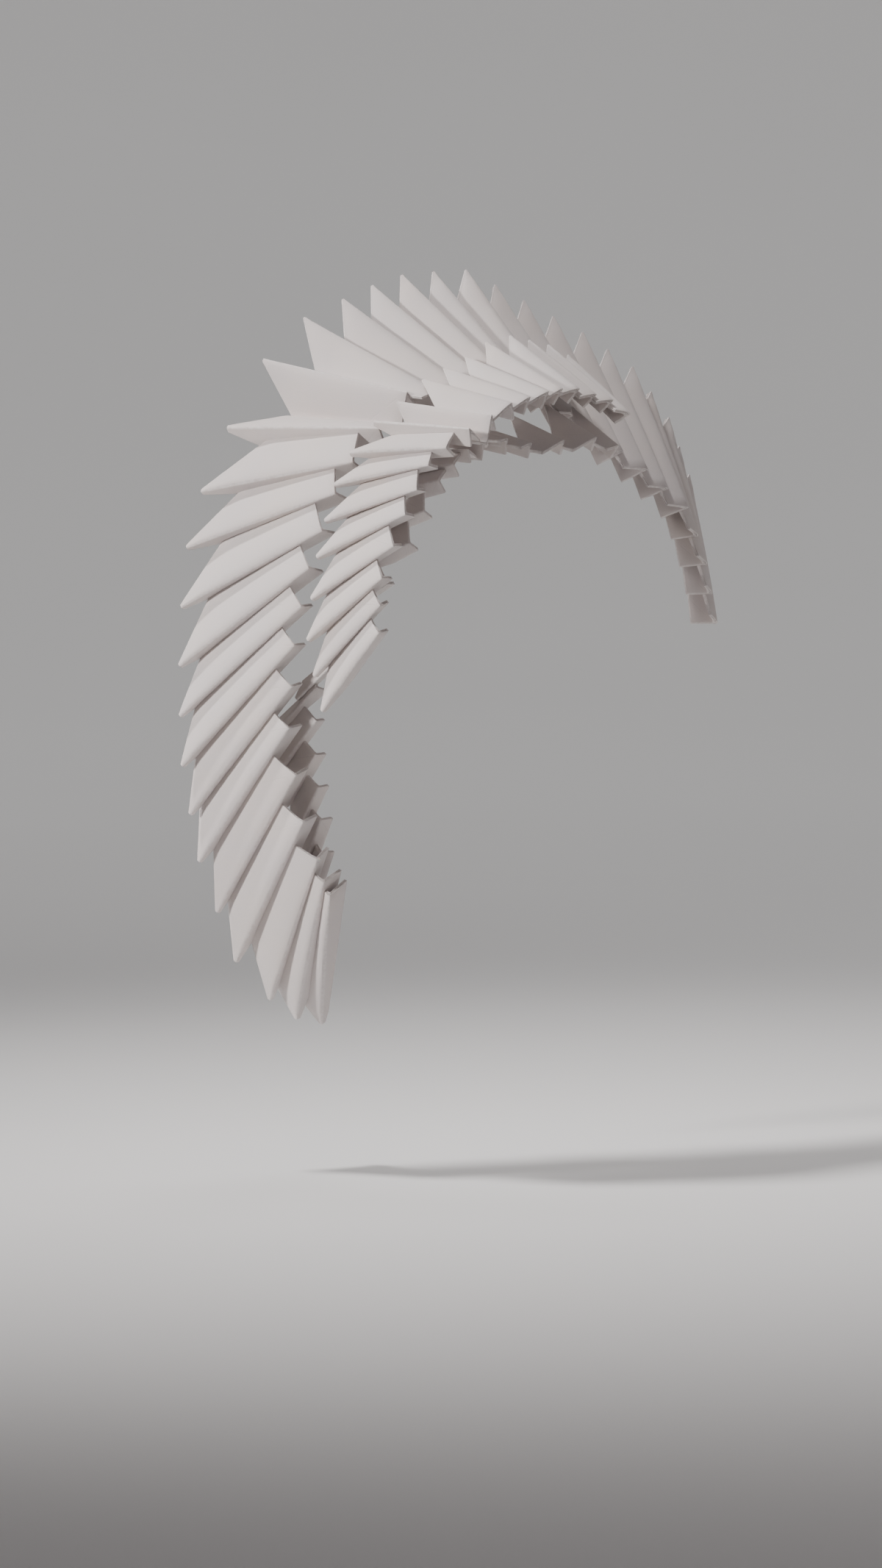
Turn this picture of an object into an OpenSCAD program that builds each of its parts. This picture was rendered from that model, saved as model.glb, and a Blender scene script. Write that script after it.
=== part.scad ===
/* [Spines] */
// Spine length of a large unit, from its end to its tip
large_spine = 61; // [56:1:63]
// Spine length of a small unit
small_spine = 38; // [34:1:39]
// Spine length of an inner unit, next to the head
inner_spine = 24; // [20:1:25]

/* [Units] */
// Large units on the near side of the turn
large_near = 14; // [12:1:14]
// Large units on the far side of the turn
large_far = 17; // [12:1:17]
// Small units on the near side of the turn
small_near = 9; // [7:1:9]
// Small units on the far side of the turn
small_far = 9; // [6:1:9]
// Inner units on the near side of the turn
inner_near = 15; // [12:1:15]
// Inner units on the far side of the turn
inner_far = 6; // [4:1:6]

/* [Folds] */
// Thickness of a folded leg, several paper layers pressed flat
leg_t = 1.2; // [1:0.1:1.4]
// Angle between the spine and the slanted edge, at the tip
tip_angle = 41; // [36:1:45]
// Width of the blunt tip
tip_w = 1.9; // [1.6:0.1:2.4]
// Reach of a large unit's inner leg, in from its spine
large_leg = 11; // [8:0.5:12]
// Reach of a small unit's inner leg
small_leg = 7; // [6:0.5:8]
// Reach of an inner unit's inner leg
inner_leg = 6; // [4:0.5:7]
// How deep a large unit's outer leg tucks in where it first meets the next spine
large_tuck = 3.6; // [3:0.1:4]
// How deep a small unit's outer leg tucks in
small_tuck = 3.2; // [2.6:0.1:3.6]
// How deep an inner unit's outer leg tucks in
inner_tuck = 2.2; // [1.8:0.1:2.6]
// How deep any outer leg but the two at a turn tucks in at the end of its spine
end_tuck = 2; // [1.8:0.1:2.2]
// Angle from the outer to the inner leg of a large or small unit on the near side
near_fold = 80; // [75:1:85]
// The same on the far side
far_fold = 65; // [60:1:75]
// The same for an inner unit, on both sides
inner_fold = 90; // [85:1:95]
// The same for the three units at the turn of any chain
turn_fold = 100; // [95:1:105]
// Slant of an inner leg's edge near the tip, its reach for each mm of spine
leg_slant = 0.7; // [0.5:0.05:0.8]
// Most of a short leg that the solid fold may fill
fold_share = 0.85; // [0.7:0.05:0.9]
// Clearance between a unit and the next
gap = 0.4; // [0.3:0.1:0.6]
// Depth of the valley where the two runs of a chain turn
valley = 5; // [3:0.5:6]

/* [Hidden] */
paper = "#cbc3be";

// The columns of the tables: fold station, the spine's end across, in depth
// and in height, the way its tip points in the front view, and how far the
// tip leans back behind the end, both in degrees
STATION = 0;
END_X = 1;
END_Y = 2;
END_Z = 3;
POINTS = 4;
LEAN = 5;

large_table = [
    [0, -75, -47, -162, 265, 36],
    [1, -77, -48, -157, 258, 30],
    [2, -79, -49, -149, 251, 25],
    [3, -84, -50, -136, 244, 21],
    [5, -89, -50, -103, 236, 17],
    [7, -87, -50, -74, 227, 14],
    [9, -82, -49, -47, 217, 17],
    [11, -73, -46, -21, 200, 21],
    [12, -67, -44, -10, 191, 24],
    [13, -58, -40, 2, 180, 26],
    [14, -48, -32, 15, 167, 29],
    [15, -37, -23, 15, 151, 25],
    [16, -27, -16, 16, 144, 25],
    [17, -19, -11, 18, 140, 25],
    [18, -11, -7, 19, 136, 25],
    [20, 4, 3, 14, 125, 25],
    [22, 20, 16, 0, 119, 25],
    [24, 38, 30, -13, 115, 25],
    [26, 53, 42, -27, 111, 25],
    [28, 60, 52, -48, 104, 25],
    [30, 64, 60, -70, 100, 25]
];

small_table = [
    [0, -57, -68, -69, 234, 24],
    [2, -56, -67, -50, 220, 24],
    [4, -48, -65.5, -28, 206, 23],
    [6, -40, -62.4, -11, 192, 26],
    [7, -34, -62.4, -5, 183, 26],
    [8, -26, -59, 2, 176, 27],
    [9, -18, -52, 7, 172, 28],
    [10, -11, -43, 11, 165, 31],
    [12, 2, -27, 15, 157, 33],
    [13, 7, -22, 16, 148, 33],
    [14, 13, -15, 16, 142, 35],
    [16, 25, -7, 12, 139, 37],
    [17, 31, -3, 7, 136, 37]
];

inner_table = [
    [0, -79.5, -34, -159, 262, 25],
    [2, -78.5, -36, -136, 250, 24],
    [4, -80, -37, -113, 239, 22],
    [6, -80, -38, -89, 228, 20],
    [8, -62, -47, -67, 221, 20],
    [10, -47, -54, -38, 208, 22],
    [12, -37, -48, -16, 195, 25],
    [14, -27, -38, -5, 180, 27],
    [15, -21, -33, 0, 172, 27],
    [17, -4, -25, -3, 162, 27],
    [19, 19, -9, -1, 147, 27],
    [20, 27, -5, -4, 140, 27]
];

function cell(table, i, column) = lookup(i, [for (row = table) [row[STATION], row[column]]]);
function unit(v) = v / norm(v);

// The way a tip points, as a unit vector
function pointing(table, i) =
    let (turn = cell(table, i, POINTS), back = cell(table, i, LEAN))
    [cos(back) * cos(turn), sin(back), cos(back) * sin(turn)];

// A spine as its tip and its end
function spine(table, i, length) =
    let (end = [cell(table, i, END_X), cell(table, i, END_Y), cell(table, i, END_Z)])
    [end + length * pointing(table, i), end];

// A unit's own axes: along its spine to the end, across towards the turn of
// the chain, and inward
function axes(line, next_line, hand) =
    let (
        along = unit(line[1] - line[0]),
        gone = next_line[1] - line[1],
        across = unit(gone - (gone * along) * along)
    )
    [along, across, hand * unit(cross(along, across))];

// The station towards the turn of the chain
function towards_turn(i, near) = i < near ? i + 1 : i - 1;

// The two units at the turn of a chain
function is_turn(i, near) = i == near - 1 || i == near;
function inner_angle(i, near, fold) = i >= near - 1 && i <= near + 1 ? turn_fold : fold;

// What a unit's outer leg ends at: the spine of the next unit and its inward
// and across axes, or at the turn the valley half way to the other run
function seat(table, i, near, length) =
    let (
        line = spine(table, i, length),
        n = towards_turn(i, near),
        next = spine(table, n, length),
        hand = i < near ? -1 : 1,
        own = axes(line, next, hand),
        at_turn = is_turn(i, near),
        beyond = spine(table, towards_turn(n, near), length),
        theirs = at_turn ? own : axes(next, beyond, hand),
        target = at_turn ? (line + next) / 2 + valley * [own[2], own[2]] : next
    )
    [line, own, target, theirs];

// A folded unit is lofted along its spine through three stations: the tip, the
// place where the slanted edge meets the next spine, and the end. A ring is
// the spine, the outer leg's edge, the fold's inside and the inner leg's edge.
module folded_unit(table, i, near, length, leg, tuck, fold) {
    found = seat(table, i, near, length);
    tip = found[0][0];
    along = found[1][0];
    across = found[1][1];
    inward = found[1][2];
    next_end = found[2][1];
    next_along = unit(next_end - found[2][0]);
    their_across = found[3][1];
    their_inward = found[3][2];
    // The outer leg reaches as far in behind the next spine as its inner leg
    // allows, or at the turn almost to the middle of the valley
    their_angle = inner_angle(is_turn(i, near) ? i : towards_turn(i, near), near, fold);
    end_depth = is_turn(i, near) ? tuck : end_tuck;
    free = min(end_depth / tan(their_angle), (end_depth + leg_t) / tan(their_angle));
    under = is_turn(i, near) ? -gap : free - gap / sin(their_angle);
    beside = min(under, -gap);
    own_angle = inner_angle(i, near, fold);
    // A leg shorter than this stands square to the outer leg
    short_leg = 3 * leg_t;
    // Where the next spine lies, for a distance along this one
    rate = next_along / (next_along * along);
    start = next_end - ((next_end - tip) * along) * rate;
    meet = (start * across - tip * across) / (tan(tip_angle) - rate * across);
    function seated(s, depth, side) = start + s * rate + depth * their_inward + side * their_across;
    // The fold's inside is where the backs of the two legs meet, or sooner
    // where the legs are short
    function ring(s, outer, outer_back, reach) =
        let (
            at = tip + s * along,
            angle = reach < short_leg ? max(90, own_angle) : own_angle,
            slope = atan2((outer - at) * inward, (outer - at) * across),
            open = angle - slope,
            deep = min(leg_t / sin(open / 2), fold_share * reach, fold_share * norm(outer - at)),
            middle = (angle + slope) / 2,
            edge = at + reach * (cos(angle) * across + sin(angle) * inward)
        )
        [
            at,
            outer,
            outer_back,
            at + deep * (cos(middle) * across + sin(middle) * inward),
            edge + leg_t * (sin(angle) * across - cos(angle) * inward),
            edge
        ];
    blunt = tip + tip_w * across;
    points = concat(
        ring(0, blunt, blunt + leg_t * inward, tip_w),
        ring(
            meet,
            seated(meet, tuck, beside),
            seated(meet, tuck + leg_t, beside),
            min(leg, leg_slant * meet)
        ),
        ring(length, seated(length, end_depth, under), seated(length, end_depth + leg_t, under), leg)
    );
    sides = 6;
    // The outer leg's front, wall 0, is split along the same way as its back
    walls = [
        for (r = [0, 1], j = [0 : sides - 1])
        let (
            k = (j + 1) % sides,
            a = r * sides + j,
            b = r * sides + k,
            split = j == 0
                ? [[a, b, a + sides], [b, b + sides, a + sides]]
                : [[a, b, b + sides], [a, b + sides, a + sides]]
        )
        for (face = split) face
    ];
    tip_cap = [[3, 1, 0], [3, 2, 1], [5, 3, 0], [5, 4, 3]];
    end_cap = [for (face = tip_cap) [face[0], face[2], face[1]] + 2 * sides * [1, 1, 1]];
    faces = concat(walls, tip_cap, end_cap);
    color(paper)
        polyhedron(points, i < near ? faces : [for (face = faces) [face[0], face[2], face[1]]]);
}

function side_fold(i, near) = i < near ? near_fold : far_fold;

module large_unit(i)
    folded_unit(large_table, i, large_near, large_spine, large_leg, large_tuck, side_fold(i, large_near));
module small_unit(i)
    folded_unit(small_table, i, small_near, small_spine, small_leg, small_tuck, side_fold(i, small_near));
module inner_unit(i)
    folded_unit(inner_table, i, inner_near, inner_spine, inner_leg, inner_tuck, inner_fold);

large_count = large_near + large_far;
small_count = small_near + small_far;
inner_count = inner_near + inner_far;

function named(word, i) = str(word, i < 9 ? "_0" : "_", i + 1);

module inner_chain_near() for (i = [0 : inner_near - 1]) inner_unit(i);
module inner_chain_far() for (i = [inner_near : inner_count - 1]) inner_unit(i);

for (i = [0 : large_count - 1])
    large_unit(i);
for (i = [0 : small_count - 1])
    small_unit(i);
inner_chain_near();
inner_chain_far();
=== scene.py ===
import math
import random

import bpy
import numpy as np
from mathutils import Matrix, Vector


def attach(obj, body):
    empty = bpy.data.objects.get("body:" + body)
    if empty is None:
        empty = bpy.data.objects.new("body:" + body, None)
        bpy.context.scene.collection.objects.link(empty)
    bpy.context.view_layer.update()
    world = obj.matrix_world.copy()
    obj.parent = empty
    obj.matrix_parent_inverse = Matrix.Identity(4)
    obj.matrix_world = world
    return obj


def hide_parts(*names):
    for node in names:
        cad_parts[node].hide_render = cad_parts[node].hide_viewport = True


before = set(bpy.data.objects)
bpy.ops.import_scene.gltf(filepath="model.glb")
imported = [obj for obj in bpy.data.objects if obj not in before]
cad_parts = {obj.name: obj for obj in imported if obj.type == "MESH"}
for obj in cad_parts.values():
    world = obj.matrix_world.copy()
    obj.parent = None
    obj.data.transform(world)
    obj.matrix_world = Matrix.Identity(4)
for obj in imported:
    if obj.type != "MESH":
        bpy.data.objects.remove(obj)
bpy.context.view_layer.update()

# Sizes of the folded units in millimetres, as in the part's source
MM = 0.001
LEG_T = 1.2
TIP_ANGLE = 41
TIP_W = 1.9
TURN_FOLD = 100
END_TUCK = 2
LEG_SLANT = 0.7
FOLD_SHARE = 0.85
SHORT_LEG = 3 * LEG_T
GAP = 0.4
VALLEY = 5

# How wide an outer leg starts at the tip, where the solids are TIP_W wide
TIP_SHOWN = 1.3
# The paper goes on behind the next spine, which the solids stop short of: how
# far near the tip, in parts of a spine's length, and how far at the end
TIP_TUCKED = 0.05
END_TUCKED = 0.9
# How far it goes past its edge in the valley at a turn
TURN_TUCKED = 0.5
# And how much deeper it lies near the tip, in parts of a spine's length
TIP_DEEPER = 0.035

# Columns of a table: fold station, the spine's end across, in depth and in
# height, the way its tip points and how far the tip leans back, in degrees
STATION, END_X, END_Y, END_Z, POINTS, LEAN = range(6)

LARGE_TABLE = [
    [0, -75, -47, -162, 265, 36],
    [1, -77, -48, -157, 258, 30],
    [2, -79, -49, -149, 251, 25],
    [3, -84, -50, -136, 244, 21],
    [5, -89, -50, -103, 236, 17],
    [7, -87, -50, -74, 227, 14],
    [9, -82, -49, -47, 217, 17],
    [11, -73, -46, -21, 200, 21],
    [12, -67, -44, -10, 191, 24],
    [13, -58, -40, 2, 180, 26],
    [14, -48, -32, 15, 167, 29],
    [15, -37, -23, 15, 151, 25],
    [16, -27, -16, 16, 144, 25],
    [17, -19, -11, 18, 140, 25],
    [18, -11, -7, 19, 136, 25],
    [20, 4, 3, 14, 125, 25],
    [22, 20, 16, 0, 119, 25],
    [24, 38, 30, -13, 115, 25],
    [26, 53, 42, -27, 111, 25],
    [28, 60, 52, -48, 104, 25],
    [30, 64, 60, -70, 100, 25],
]
SMALL_TABLE = [
    [0, -57, -68, -69, 234, 24],
    [2, -56, -67, -50, 220, 24],
    [4, -48, -65.5, -28, 206, 23],
    [6, -40, -62.4, -11, 192, 26],
    [7, -34, -62.4, -5, 183, 26],
    [8, -26, -59, 2, 176, 27],
    [9, -18, -52, 7, 172, 28],
    [10, -11, -43, 11, 165, 31],
    [12, 2, -27, 15, 157, 33],
    [13, 7, -22, 16, 148, 33],
    [14, 13, -15, 16, 142, 35],
    [16, 25, -7, 12, 139, 37],
    [17, 31, -3, 7, 136, 37],
]
INNER_TABLE = [
    [0, -79.5, -34, -159, 262, 25],
    [2, -78.5, -36, -136, 250, 24],
    [4, -80, -37, -113, 239, 22],
    [6, -80, -38, -89, 228, 20],
    [8, -62, -47, -67, 221, 20],
    [10, -47, -54, -38, 208, 22],
    [12, -37, -48, -16, 195, 25],
    [14, -27, -38, -5, 180, 27],
    [15, -21, -33, 0, 172, 27],
    [17, -4, -25, -3, 162, 27],
    [19, 19, -9, -1, 147, 27],
    [20, 27, -5, -4, 140, 27],
]


class Run:
    """A chain of folded units of one size, on both sides of its turn."""

    def __init__(self, table, near, far, length, leg, tuck, folds, roll, bulge):
        self.table = np.array(table, float)
        self.near = near
        self.count = near + far
        self.length = length
        self.leg = leg
        self.tuck = tuck
        self.folds = folds
        self.roll = roll
        self.bulge = bulge

    def cell(self, i, column):
        """A value of the table, worked out between its rows."""
        return np.interp(i, self.table[:, STATION], self.table[:, column])

    def inner_angle(self, i):
        """The angle at which a unit's inner leg stands in, in degrees."""
        if self.near - 1 <= i <= self.near + 1:
            return TURN_FOLD
        return self.folds[0] if i < self.near else self.folds[1]


# near and far count the units on each side, length is a spine's, leg is an
# inner leg's reach, tuck is how deep an outer leg goes in where it first meets
# the next spine, folds are the angles between the legs on the near and the far
# side, roll is how far the soft fold along a spine reaches into each leg, and
# bulge is how far an outer leg stands proud of flat
LARGE = Run(
    LARGE_TABLE, near=14, far=17, length=61, leg=11, tuck=3.6, folds=(80, 65), roll=0.75, bulge=1.5
)
SMALL = Run(
    SMALL_TABLE, near=9, far=9, length=38, leg=7, tuck=3.2, folds=(72, 65), roll=0.75, bulge=1.2
)
INNER = Run(
    INNER_TABLE, near=15, far=6, length=24, leg=6, tuck=2.2, folds=(90, 90), roll=0.9, bulge=0.3
)


def unit_vector(v):
    return v / np.linalg.norm(v)


def spine(run, i):
    """A spine as its tip and its end."""
    end = np.array([run.cell(i, END_X), run.cell(i, END_Y), run.cell(i, END_Z)])
    turn = math.radians(run.cell(i, POINTS))
    back = math.radians(run.cell(i, LEAN))
    way = np.array([math.cos(back) * math.cos(turn), math.sin(back), math.cos(back) * math.sin(turn)])
    return np.array([end + run.length * way, end])


def own_axes(line, next_line, hand):
    """Along a spine to its end, across towards the turn of the chain, and inward."""
    along = unit_vector(line[1] - line[0])
    gone = next_line[1] - line[1]
    across = unit_vector(gone - (gone @ along) * along)
    return along, across, hand * unit_vector(np.cross(along, across))


class Unit:
    """Where one folded unit lies, and the lines that its legs end at."""

    def __init__(self, run, i):
        near_side = i < run.near
        hand = -1 if near_side else 1
        step = 1 if near_side else -1
        line = spine(run, i)
        next_line = spine(run, i + step)
        at_turn = i in (run.near - 1, run.near)
        self.run = run
        self.tip = line[0]
        self.along, self.across, self.inward = own_axes(line, next_line, hand)
        if at_turn:
            target = (line + next_line) / 2 + VALLEY * self.inward
            self.their_across, self.their_inward = self.across, self.inward
        else:
            target = next_line
            _, self.their_across, self.their_inward = own_axes(next_line, spine(run, i + 2 * step), hand)
        their_angle = math.radians(run.inner_angle(i if at_turn else i + step))
        self.end_depth = run.tuck if at_turn else END_TUCK
        free = min(self.end_depth / math.tan(their_angle), (self.end_depth + LEG_T) / math.tan(their_angle))
        self.under = free - GAP / math.sin(their_angle)
        way = unit_vector(target[1] - target[0])
        self.rate = way / (way @ self.along)
        self.start = target[1] - ((target[1] - self.tip) @ self.along) * self.rate
        rise = math.tan(math.radians(TIP_ANGLE)) - self.rate @ self.across
        self.meet = ((self.start - self.tip) @ self.across) / rise
        self.tip_side = TURN_TUCKED if at_turn else TIP_TUCKED * run.length
        self.end_side = TURN_TUCKED if at_turn else self.under + END_TUCKED
        self.tucked_at = self.meet + self.tip_side / rise
        self.stations = [0, self.meet, run.length]
        self.reaches = [TIP_W, min(run.leg, LEG_SLANT * self.meet), run.leg]
        own = run.inner_angle(i)
        self.angles = [math.radians(max(90, own) if r < SHORT_LEG else own) for r in self.reaches]

    def seated(self, s, depth):
        """Where the outer leg ends behind the next spine."""
        side = np.interp(s, [self.tucked_at, self.run.length], [self.tip_side, self.end_side])
        tuck = np.interp(s, self.stations[1:], [self.run.tuck + TIP_DEEPER * self.run.length, self.end_depth])
        line = self.start + s * self.rate
        return line + (tuck + depth) * self.their_inward + side * self.their_across

    def outer_edge(self, s, depth):
        """Where the outer leg ends, at a distance from the tip and a depth in the paper."""
        if s >= self.tucked_at:
            return self.seated(s, depth)
        at_tip = self.tip + TIP_SHOWN * self.across + depth * self.inward
        return at_tip + s / self.tucked_at * (self.seated(self.tucked_at, depth) - at_tip)

    def inner_edge(self, s, depth):
        """Where the inner leg ends."""
        ends = []
        for place, reach, angle in zip(self.stations, self.reaches, self.angles):
            out = math.cos(angle) * self.across + math.sin(angle) * self.inward
            thick = math.sin(angle) * self.across - math.cos(angle) * self.inward
            ends.append(self.tip + place * self.along + reach * out + depth * thick)
        first = 0 if s < self.meet else 1
        share = (s - self.stations[first]) / (self.stations[first + 1] - self.stations[first])
        return ends[first] + share * (ends[first + 1] - ends[first])

    def fold(self, s, depth):
        """The fold between the legs, at a depth in the paper."""
        at = self.tip + s * self.along
        outer = self.outer_edge(s, 0) - at
        inner = self.inner_edge(s, 0) - at
        slope = math.atan2(outer @ self.inward, outer @ self.across)
        angle = math.atan2(inner @ self.inward, inner @ self.across)
        most = FOLD_SHARE * depth / LEG_T * min(np.linalg.norm(outer), np.linalg.norm(inner))
        deep = min(depth / math.sin((angle - slope) / 2), most)
        middle = (angle + slope) / 2
        return at + deep * (math.cos(middle) * self.across + math.sin(middle) * self.inward)


# Points across the outer leg, the fold and the inner leg
OUTER_STEPS = 7
FOLD_STEPS = 6
INNER_STEPS = 4
# Rows of points from the tip to where the leg is tucked, and from there on
TIP_ROWS = 8
END_ROWS = 12
# Radius of the paper's rounded edges
RIM = 0.14
# Thickness at the tip, in parts of LEG_T
THIN_TIP = 0.45
# The least roll of a fold, and the most in parts of a leg
LEAST_ROLL = 0.35
ROLL_SHARE = 0.42
# Width of an outer leg that bulges in full
BULGE_W = 6
# A layer under the outer leg: its height, its edge at the fold and the slant of
# that edge, both in parts of a spine's length, and how soft the edge is
LAYER_H = 0.1
LAYER_AT = 0.5
LAYER_SLANT = 0.22
LAYER_SOFT = 1.4
# Heights of the slight waves along and across an outer leg
WAVE_ALONG = 0.07
WAVE_ACROSS = 0.06
# Depths of the slits between the layers, at the end and along an inner leg
END_SLIT = 1.5
LEG_SLIT = 0.5
# How pale the paper's edges and its back folds are painted, where a front fold is 1: partly wear, partly a
# painted highlight
EDGE_WEAR_AND_HIGHLIGHT = 0.9
BACK_WEAR_AND_HIGHLIGHT = 0.6
# Angle from which an edge of the mesh is shaded as sharp
SHARP = 38


def smooth_step(x):
    x = min(1.0, max(0.0, x))
    return x * x * (3 - 2 * x)


def full(w):
    """How far a face stands proud of flat: fullest near its own spine, then dipping to the tuck."""
    return 2.6 * math.sqrt(w) * (1 - w)


def section(unit, s, depth, waves):
    """The line of paper across a unit, from the outer leg's edge over the fold to the inner leg's edge.
    Returns its points, and for each how near the fold it is, how far along and to the side of the
    spine it lies on the unfolded paper, and the spine's length."""
    run = unit.run
    depth *= THIN_TIP + (1 - THIN_TIP) * smooth_step(s / unit.meet)
    fold = unit.fold(s, depth)
    outer = unit.outer_edge(s, depth) - fold
    inner = unit.inner_edge(s, depth) - fold
    outer_long = np.linalg.norm(outer)
    inner_long = max(np.linalg.norm(inner), 0.05)
    outer_way = outer / outer_long
    inner_way = inner / inner_long
    proud = unit_vector(np.cross(unit.along, outer_way))
    if proud @ unit.inward > 0:
        proud = -proud
    roll = min(max(run.roll - 0.5 * depth, LEAST_ROLL), ROLL_SHARE * outer_long, ROLL_SHARE * inner_long)
    outer_end = outer_long - min(RIM, 0.2 * outer_long)
    inner_end = inner_long - min(RIM, 0.2 * inner_long)
    share = s / run.length
    hump = run.bulge * math.sin(math.pi * min(1, 0.12 + 0.8 * share)) * min(1, outer_long / BULGE_W)
    points = []
    marks = []
    for k in range(OUTER_STEPS):
        reached = outer_end + (roll - outer_end) * k / OUTER_STEPS
        w = reached / outer_long
        layer = LAYER_H * smooth_step((s - (LAYER_AT + LAYER_SLANT * w) * run.length) / LAYER_SOFT)
        wave = waves[0] * math.sin(5 * share + waves[1]) + waves[2] * math.sin(7 * w + 3 * share + waves[3])
        lift = hump * full(w) + layer + wave * math.sin(math.pi * w)
        points.append(fold + reached * outer_way + lift * proud)
        marks.append((0.0, s, reached, run.length))
    for k in range(FOLD_STEPS):
        t = k / (FOLD_STEPS - 1)
        w = roll * (1 - t) ** 2 / outer_long
        lift = hump * full(w) * (1 - t)
        points.append(fold + roll * ((1 - t) ** 2 * outer_way + t * t * inner_way) + lift * proud)
        # How near the fold: the paper is painted paler there, partly as wear and partly as a painted
        # highlight
        marks.append((math.sin(math.pi * t), s, roll * ((1 - t) ** 2 - t * t), run.length))
    for k in range(1, INNER_STEPS + 1):
        reached = roll + (inner_end - roll) * k / INNER_STEPS
        points.append(fold + reached * inner_way)
        marks.append((0.0, s, -reached, run.length))
    return points, marks


# How an edge of the pressed paper runs from its front to its back: share of
# the thickness, and how far it stands out, in parts of RIM or slit depths
ROUND_EDGE = [(0.5 - 0.5 * math.cos(math.pi * q / 18), math.sin(math.pi * q / 18), 0) for q in range(1, 18)]
LAYERED_EDGE = [
    (0.04, 0.6, 0), (0.15, 1, 0), (0.26, 0.6, 0), (0.31, 0, 0), (0.335, 0, 1), (0.365, 0, 1),
    (0.39, 0, 0), (0.44, 0.8, 0), (0.5, 1, 0), (0.56, 0.8, 0), (0.61, 0, 0), (0.635, 0, 1),
    (0.665, 0, 1), (0.69, 0, 0), (0.74, 0.6, 0), (0.85, 1, 0), (0.96, 0.6, 0),
]


def sheet_edge(rows, columns):
    """The row and column of each point round a sheet's edge, from its first corner."""
    loop = [(0, k) for k in range(columns - 1)]
    loop += [(j, columns - 1) for j in range(rows - 1)]
    loop += [(rows - 1, k) for k in range(columns - 1, 0, -1)]
    loop += [(j, 0) for j in range(rows - 1, 0, -1)]
    return loop


def unit_mesh(run, i, draw):
    """One folded unit as a closed mesh: its points, its faces, and the marks of each point."""
    unit = Unit(run, i)
    waves = [
        WAVE_ALONG * draw.uniform(-1, 1),
        draw.uniform(0, 6),
        WAVE_ACROSS * draw.uniform(-1, 1),
        draw.uniform(0, 6),
    ]
    to_tuck = np.linspace(RIM, unit.tucked_at, TIP_ROWS)
    to_end = np.linspace(unit.tucked_at, run.length - RIM, END_ROWS)
    stations = [*to_tuck, *to_end[1:]]
    front = []
    back = []
    marks = []
    for s in stations:
        line, line_marks = section(unit, s, 0, waves)
        front.append(line)
        marks.append(line_marks)
        back.append(section(unit, s, LEG_T, waves)[0])
    front = np.array(front)
    back = np.array(back)
    rows, columns = front.shape[:2]
    points = [*front.reshape(-1, 3), *back.reshape(-1, 3)]
    marks = np.array(marks)
    flat_marks = marks.reshape(-1, 4)
    # The back of the paper gets a weaker pale mark at its folds: partly wear, partly a painted highlight
    values = [tuple(m) for m in flat_marks] + [tuple(m * [BACK_WEAR_AND_HIGHLIGHT, 1, 1, 1]) for m in flat_marks]
    faces = []
    half = rows * columns
    for j in range(rows - 1):
        for k in range(columns - 1):
            a = j * columns + k
            faces.append((a, a + 1, a + columns + 1, a + columns))
            faces.append((a + half, a + columns + half, a + columns + 1 + half, a + 1 + half))
    loop = sheet_edge(rows, columns)
    rings = []
    for n, (j, k) in enumerate(loop):
        before = loop[n - 1]
        after = loop[(n + 1) % len(loop)]
        thick = back[j, k] - front[j, k]
        run_way = front[after] - front[before]
        outward = unit_vector(np.cross(run_way, thick))
        inside = front[min(max(j, 1), rows - 2), min(max(k, 1), columns - 2)]
        if outward @ (front[j, k] - inside) < 0:
            outward = -outward
        at_end = j == rows - 1
        at_inner = k == columns - 1 and j > 0
        layered = 1.0 if (at_end or at_inner) else 0.0
        if at_end and k == 0:
            layered = 0.4
        slit = END_SLIT if at_end else LEG_SLIT
        rim = min(RIM, 0.3 * np.linalg.norm(thick))
        ring = [j * columns + k]
        for plain, split in zip(ROUND_EDGE, LAYERED_EDGE):
            share = plain[0] + layered * (split[0] - plain[0])
            stands = rim * (plain[1] + layered * (split[1] - plain[1])) - layered * slit * split[2]
            ring.append(len(points))
            points.append(front[j, k] + share * thick + stands * outward)
            # Edges are painted pale like the folds, partly wear and partly a painted highlight; the slits
            # between layers are not
            wear_and_highlight = 0.0 if split[2] and layered else EDGE_WEAR_AND_HIGHLIGHT
            values.append((wear_and_highlight, *marks[j, k, 1:]))
        ring.append(j * columns + k + half)
        rings.append(ring)
    for n, ring in enumerate(rings):
        other = rings[(n + 1) % len(rings)]
        for q in range(len(ring) - 1):
            faces.append((ring[q], ring[q + 1], other[q + 1], other[q]))
    return np.array(points) * MM, faces, values


def make_piece(name, parts, material, tones):
    """A mesh object from closed meshes, with their marks and tones for the material."""
    points = []
    faces = []
    marks = []
    tone = []
    for (part_points, part_faces, part_values), part_tone in zip(parts, tones):
        base = len(points)
        points.extend(tuple(p) for p in part_points)
        faces.extend(tuple(base + v for v in face) for face in part_faces)
        marks.extend(part_values)
        tone.extend([part_tone] * len(part_points))
    mesh = bpy.data.meshes.new(name)
    mesh.from_pydata(points, [], faces)
    marks = np.array(marks)
    # The fold column also carries where the paper is painted paler: partly wear, partly a painted highlight
    # along folds and edges
    columns = dict(zip(("fold", "along", "side", "length"), marks.T))
    columns["tone"] = tone
    for label, numbers in columns.items():
        attribute = mesh.attributes.new(label, "FLOAT", "POINT")
        attribute.data.foreach_set("value", np.array(numbers, np.float32))
    mesh.polygons.foreach_set("use_smooth", [True] * len(mesh.polygons))
    mesh.set_sharp_from_angle(angle=math.radians(SHARP))
    mesh.update()
    piece = bpy.data.objects.new(name, mesh)
    bpy.context.scene.collection.objects.link(piece)
    piece.data.materials.append(material)
    turn_outward(piece)
    return piece


def turn_outward(piece):
    """Makes every closed shell of a mesh face outward."""
    bpy.context.view_layer.objects.active = piece
    piece.select_set(True)
    bpy.ops.object.mode_set(mode="EDIT")
    bpy.ops.mesh.select_all(action="SELECT")
    bpy.ops.mesh.normals_make_consistent(inside=False)
    bpy.ops.object.mode_set(mode="OBJECT")
    piece.select_set(False)


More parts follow.
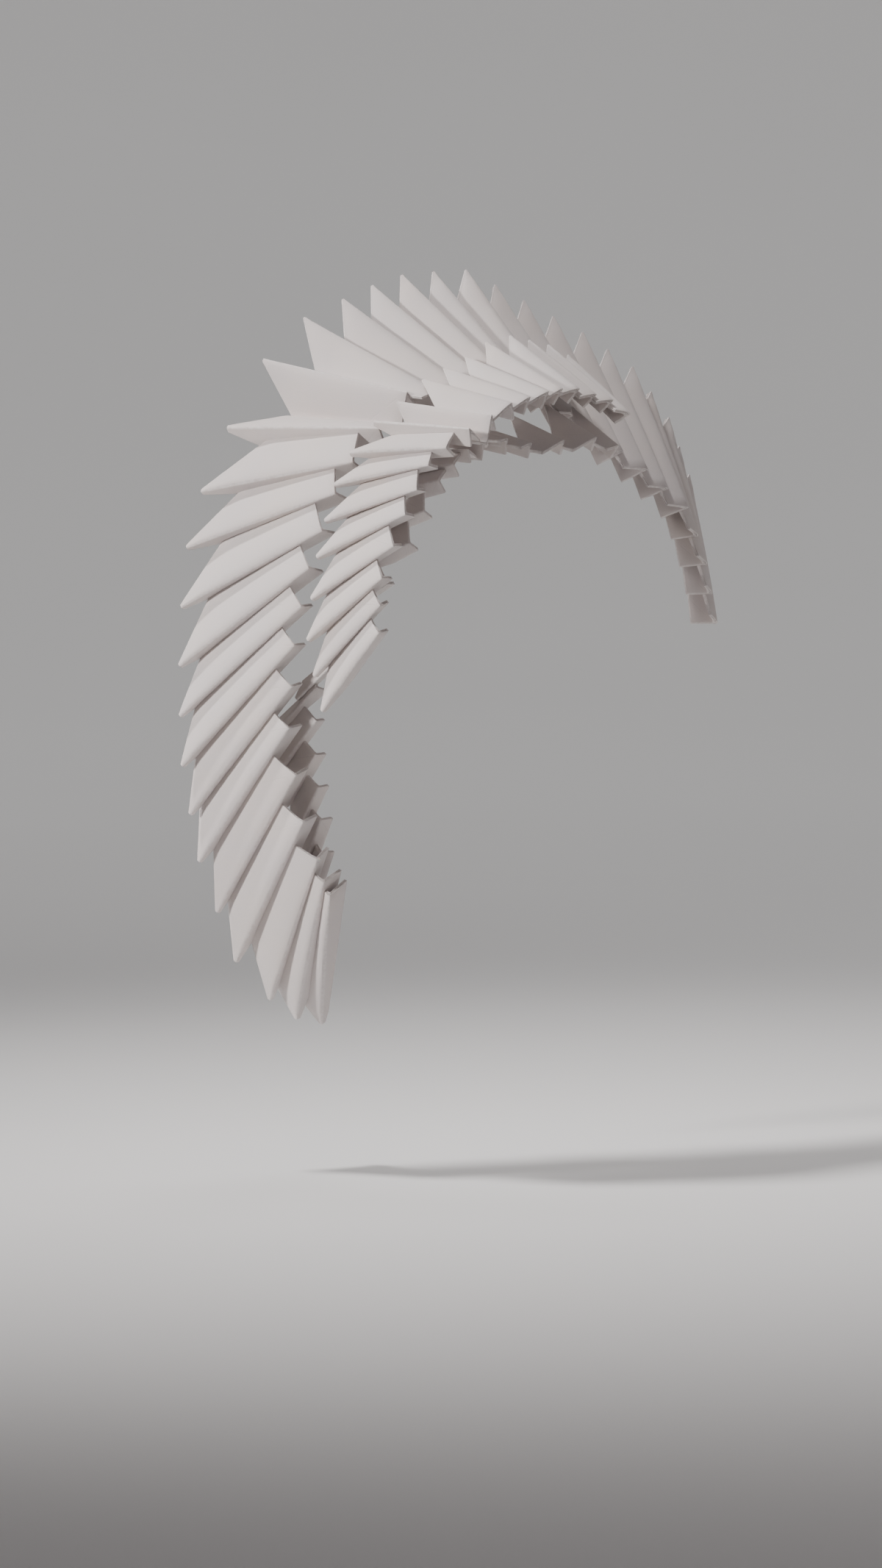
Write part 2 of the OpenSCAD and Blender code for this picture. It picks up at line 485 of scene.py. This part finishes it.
class Nodes:
    """Short calls for building a material's nodes."""

    def __init__(self, name):
        self.material = bpy.data.materials.new(name)
        self.material.use_nodes = True
        self.tree = self.material.node_tree
        self.shader = self.tree.nodes["Principled BSDF"]

    def add(self, kind, **settings):
        node = self.tree.nodes.new(kind)
        for key, value in settings.items():
            if key in node.inputs:
                node.inputs[key].default_value = value
            else:
                setattr(node, key, value)
        return node

    def link(self, output, target):
        self.tree.links.new(output, target)

    def feed(self, value, socket):
        """Links another node's output to a socket, or sets the socket to a plain value."""
        if hasattr(value, "is_output"):
            self.link(value, socket)
        else:
            socket.default_value = value

    def noise(self, place, scale, detail, roughness=0.5):
        node = self.add("ShaderNodeTexNoise", Scale=scale, Detail=detail, Roughness=roughness)
        self.link(place, node.inputs["Vector"])
        return node.outputs["Fac"]

    def band(self, value, low, high, to_low=0.0, to_high=1.0):
        node = self.add("ShaderNodeMapRange")
        self.link(value, node.inputs["Value"])
        for label, number in (("From Min", low), ("From Max", high), ("To Min", to_low), ("To Max", to_high)):
            node.inputs[label].default_value = number
        return node.outputs["Result"]

    def mix(self, share, first, second):
        node = self.add("ShaderNodeMix", data_type="RGBA")
        for number, value in ((0, share), (6, first), (7, second)):
            self.feed(value, node.inputs[number])
        return node.outputs[2]

    def attribute(self, name):
        return self.add("ShaderNodeAttribute", attribute_name=name).outputs["Fac"]

    def math(self, operation, first, second):
        node = self.add("ShaderNodeMath", operation=operation)
        for number, value in enumerate((first, second)):
            self.feed(value, node.inputs[number])
        return node.outputs[0]


def paper_material():
    """Matte white paper: faint fibres, slight cloudiness, folds and edges painted paler (partly wear, partly
    a painted highlight) and a pressed crease that runs in from each corner of the end."""
    n = Nodes("folded_paper")
    place = n.add("ShaderNodeTexCoord").outputs["Object"]
    clouds = n.noise(place, 42, 3)
    grain = n.noise(place, 2600, 5, 0.65)
    stretched = n.add("ShaderNodeMapping")
    stretched.inputs["Scale"].default_value = (1, 1, 3.2)
    stretched.inputs["Rotation"].default_value = (0.5, 0.7, 0.2)
    n.link(place, stretched.inputs["Vector"])
    fibres = n.noise(stretched.outputs["Vector"], 900, 4, 0.6)
    cool = (0.575, 0.528, 0.522, 1)
    warm = (0.61, 0.55, 0.522, 1)
    pale = (0.735, 0.70, 0.686, 1)
    flecks = (0.53, 0.485, 0.475, 1)
    base = n.mix(n.band(clouds, 0.35, 0.65), cool, warm)
    base = n.mix(n.band(n.attribute("tone"), 0, 1, 0, 0.25), base, pale)
    base = n.mix(n.band(fibres, 0.62, 0.76, 0, 0.35), base, flecks)
    base = n.mix(n.band(grain, 0.3, 0.7, 0, 0.16), base, pale)
    # Folds and edges painted paler: partly wear, partly a painted highlight along the spines
    wear_and_highlight = n.math("MULTIPLY", n.attribute("fold"), n.band(n.noise(place, 700, 3), 0.35, 0.6))
    base = n.mix(n.band(wear_and_highlight, 0, 1, 0, 0.75), base, pale)
    n.link(n.band(fibres, 0.3, 0.7, 0.78, 0.9), n.shader.inputs["Roughness"])
    n.shader.inputs["Specular IOR Level"].default_value = 0.3
    n.shader.inputs["Sheen Weight"].default_value = 0.12
    n.shader.inputs["Sheen Roughness"].default_value = 0.6
    to_end = n.math("SUBTRACT", n.attribute("length"), n.attribute("along"))
    slant = n.math("SUBTRACT", to_end, n.math("ABSOLUTE", n.attribute("side"), 0.0))
    crease = n.band(n.math("ABSOLUTE", slant, 0.0), 0.0, 0.45, 1.0, 0.0)
    crease = n.math("MULTIPLY", crease, n.band(n.noise(place, 260, 2), 0.42, 0.6))
    base = n.mix(n.math("MULTIPLY", crease, 0.16), base, flecks)
    n.link(base, n.shader.inputs["Base Color"])
    pressed = n.add("ShaderNodeBump", Strength=0.5, Distance=0.0001, invert=True)
    n.link(crease, pressed.inputs["Height"])
    fine = n.add("ShaderNodeBump", Strength=0.35, Distance=0.00006)
    n.link(pressed.outputs["Normal"], fine.inputs["Normal"])
    n.link(grain, fine.inputs["Height"])
    coarse = n.add("ShaderNodeBump", Strength=0.4, Distance=0.00012)
    n.link(fibres, coarse.inputs["Height"])
    n.link(fine.outputs["Normal"], coarse.inputs["Normal"])
    n.link(coarse.outputs["Normal"], n.shader.inputs["Normal"])
    return n.material


def glue_material():
    """Set hot glue: milky and glossy."""
    n = Nodes("set_glue")
    place = n.add("ShaderNodeTexCoord").outputs["Object"]
    cloud = n.noise(place, 1400, 3)
    n.link(n.mix(cloud, (0.72, 0.66, 0.58, 1), (0.82, 0.78, 0.74, 1)), n.shader.inputs["Base Color"])
    n.link(n.band(cloud, 0.3, 0.7, 0.12, 0.28), n.shader.inputs["Roughness"])
    n.shader.inputs["Transmission Weight"].default_value = 0.2
    n.shader.inputs["Subsurface Weight"].default_value = 0.2
    n.shader.inputs["Subsurface Scale"].default_value = 0.001
    return n.material


def pale_material():
    """The plain pale floor, very slightly uneven."""
    n = Nodes("pale_floor")
    place = n.add("ShaderNodeTexCoord").outputs["Object"]
    cloud = n.noise(place, 1.5, 3)
    n.link(n.mix(cloud, (0.80, 0.795, 0.79, 1), (0.84, 0.835, 0.83, 1)), n.shader.inputs["Base Color"])
    n.shader.inputs["Roughness"].default_value = 0.85
    return n.material


PAPER = paper_material()


def node_number(i):
    """A unit's number as the nodes' names have it."""
    return f"{i + 1:02d}"


draw = random.Random(11)

for label, run in (("large", LARGE), ("small", SMALL)):
    for i in range(run.count):
        shape = unit_mesh(run, i, draw)
        piece = make_piece(f"{label}_paper_{node_number(i)}", [shape], PAPER, [draw.random()])
        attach(piece, "root")
        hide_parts(f"{label}_unit_{node_number(i)}")

for label, first, last in (("near", 0, INNER.near), ("far", INNER.near, INNER.count)):
    shapes = [unit_mesh(INNER, i, draw) for i in range(first, last)]
    tones = [draw.random() for _ in shapes]
    piece = make_piece(f"inner_paper_{label}", shapes, PAPER, tones)
    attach(piece, "root")
    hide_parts(f"inner_chain_{label}")

# The one bead of glue that shows, near the end of the third large unit's spine:
# its place along, across and in from there, and its radius
glued_unit = Unit(LARGE, 2)
GLUE_PLACE = (LARGE.length - 0.8, 0.6, 1.4)
GLUE_R = 1.1
bpy.ops.mesh.primitive_ico_sphere_add(subdivisions=4, radius=GLUE_R * MM)
bead = bpy.context.object
bead.name = "glue_bead"
for vertex in bead.data.vertices:
    x, y, z = vertex.co / (GLUE_R * MM)
    swell = 1 + 0.12 * math.sin(3 * x + 1) * math.cos(2 * y) + 0.08 * math.sin(4 * z + x)
    vertex.co *= swell
    vertex.co.z *= 0.75
bead.data.polygons.foreach_set("use_smooth", [True] * len(bead.data.polygons))
bead.data.materials.append(glue_material())
glued_axes = np.array([glued_unit.along, glued_unit.across, glued_unit.inward])
bead.location = Vector((glued_unit.tip + np.array(GLUE_PLACE) @ glued_axes) * MM)
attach(bead, "root")

# A floor that curves up far away, all the way round
FLOOR_Z = -0.262
FLAT_R = 2.4
CURVE_R = 3.4
WALL_TOP = 6.0
SIDES = 96
CURVE_STEPS = 12
profile = [(0.0, 0.0), (FLAT_R * 0.5, 0.0), (FLAT_R, 0.0)]
for k in range(1, CURVE_STEPS + 1):
    turn = math.radians(90 * k / CURVE_STEPS)
    profile.append((FLAT_R + CURVE_R * math.sin(turn), CURVE_R * (1 - math.cos(turn))))
profile.append((FLAT_R + CURVE_R, WALL_TOP))
floor_points = [(0, 0, FLOOR_Z)]
floor_faces = []
for radius, height in profile[1:]:
    for k in range(SIDES):
        turn = 2 * math.pi * k / SIDES
        floor_points.append((radius * math.cos(turn), radius * math.sin(turn), FLOOR_Z + height))
for k in range(SIDES):
    floor_faces.append((0, 1 + k, 1 + (k + 1) % SIDES))
for ring in range(len(profile) - 2):
    for k in range(SIDES):
        a = 1 + ring * SIDES + k
        b = 1 + ring * SIDES + (k + 1) % SIDES
        floor_faces.append((a, a + SIDES, b + SIDES, b))
floor_mesh = bpy.data.meshes.new("floor")
floor_mesh.from_pydata(floor_points, [], floor_faces)
floor_mesh.polygons.foreach_set("use_smooth", [True] * len(floor_mesh.polygons))
floor = bpy.data.objects.new("floor", floor_mesh)
bpy.context.scene.collection.objects.link(floor)
floor.data.materials.append(pale_material())


def aim(thing, target):
    """Turns a lamp or the camera towards a point."""
    thing.rotation_mode = "QUATERNION"
    thing.rotation_quaternion = (Vector(target) - thing.location).to_track_quat("-Z", "Y")


def softbox(name, place, target, size, spread, power, colour):
    """A round soft light, with its spread in degrees."""
    light = bpy.data.lights.new(name, "AREA")
    light.shape = "DISK"
    light.size = size
    light.spread = math.radians(spread)
    light.energy = power
    light.color = colour
    lamp = bpy.data.objects.new(name, light)
    bpy.context.scene.collection.objects.link(lamp)
    lamp.location = place
    aim(lamp, target)


# The lights stand round the middle of the headpiece, and one lights the wall
MIDDLE = (-0.03, 0.0, -0.07)
softbox("key", (-1.65, -1.3, 0.4), MIDDLE, 0.3, 30, 1.35, (1.0, 0.965, 0.95))
softbox("top", (-0.9, -0.15, 2.1), MIDDLE, 0.3, 30, 1.45, (1.0, 0.97, 0.96))
softbox("fill", (1.3, -1.9, 0.7), MIDDLE, 1.0, 40, 0.42, (1.0, 0.90, 0.89))
softbox("back", (0.6, 1.9, 1.4), MIDDLE, 1.2, 60, 0.6, (0.98, 0.98, 1.0))
softbox("wall", (0.0, 1.2, 3.2), (0.0, 5.0, 0.4), 2.4, 170, 56, (1.0, 1.0, 1.0))

world = bpy.data.worlds.new("studio")
world.use_nodes = True
world.node_tree.nodes["Background"].inputs["Color"].default_value = (0.92, 0.86, 0.87, 1)
world.node_tree.nodes["Background"].inputs["Strength"].default_value = 0.15
bpy.context.scene.world = world

# The photograph's camera: 2 m in front, its lens 7600 pixels long where the
# picture's longer side is 2133
camera_data = bpy.data.cameras.new("camera")
camera_data.sensor_width = 36
camera_data.lens = 7600 * 36 / 2133
camera_data.clip_start = 0.05
camera_data.clip_end = 60
camera = bpy.data.objects.new("camera", camera_data)
bpy.context.scene.collection.objects.link(camera)
camera.location = (0, -2.0, 0)
aim(camera, (-0.0368, 0, -0.1254))
bpy.context.scene.camera = camera
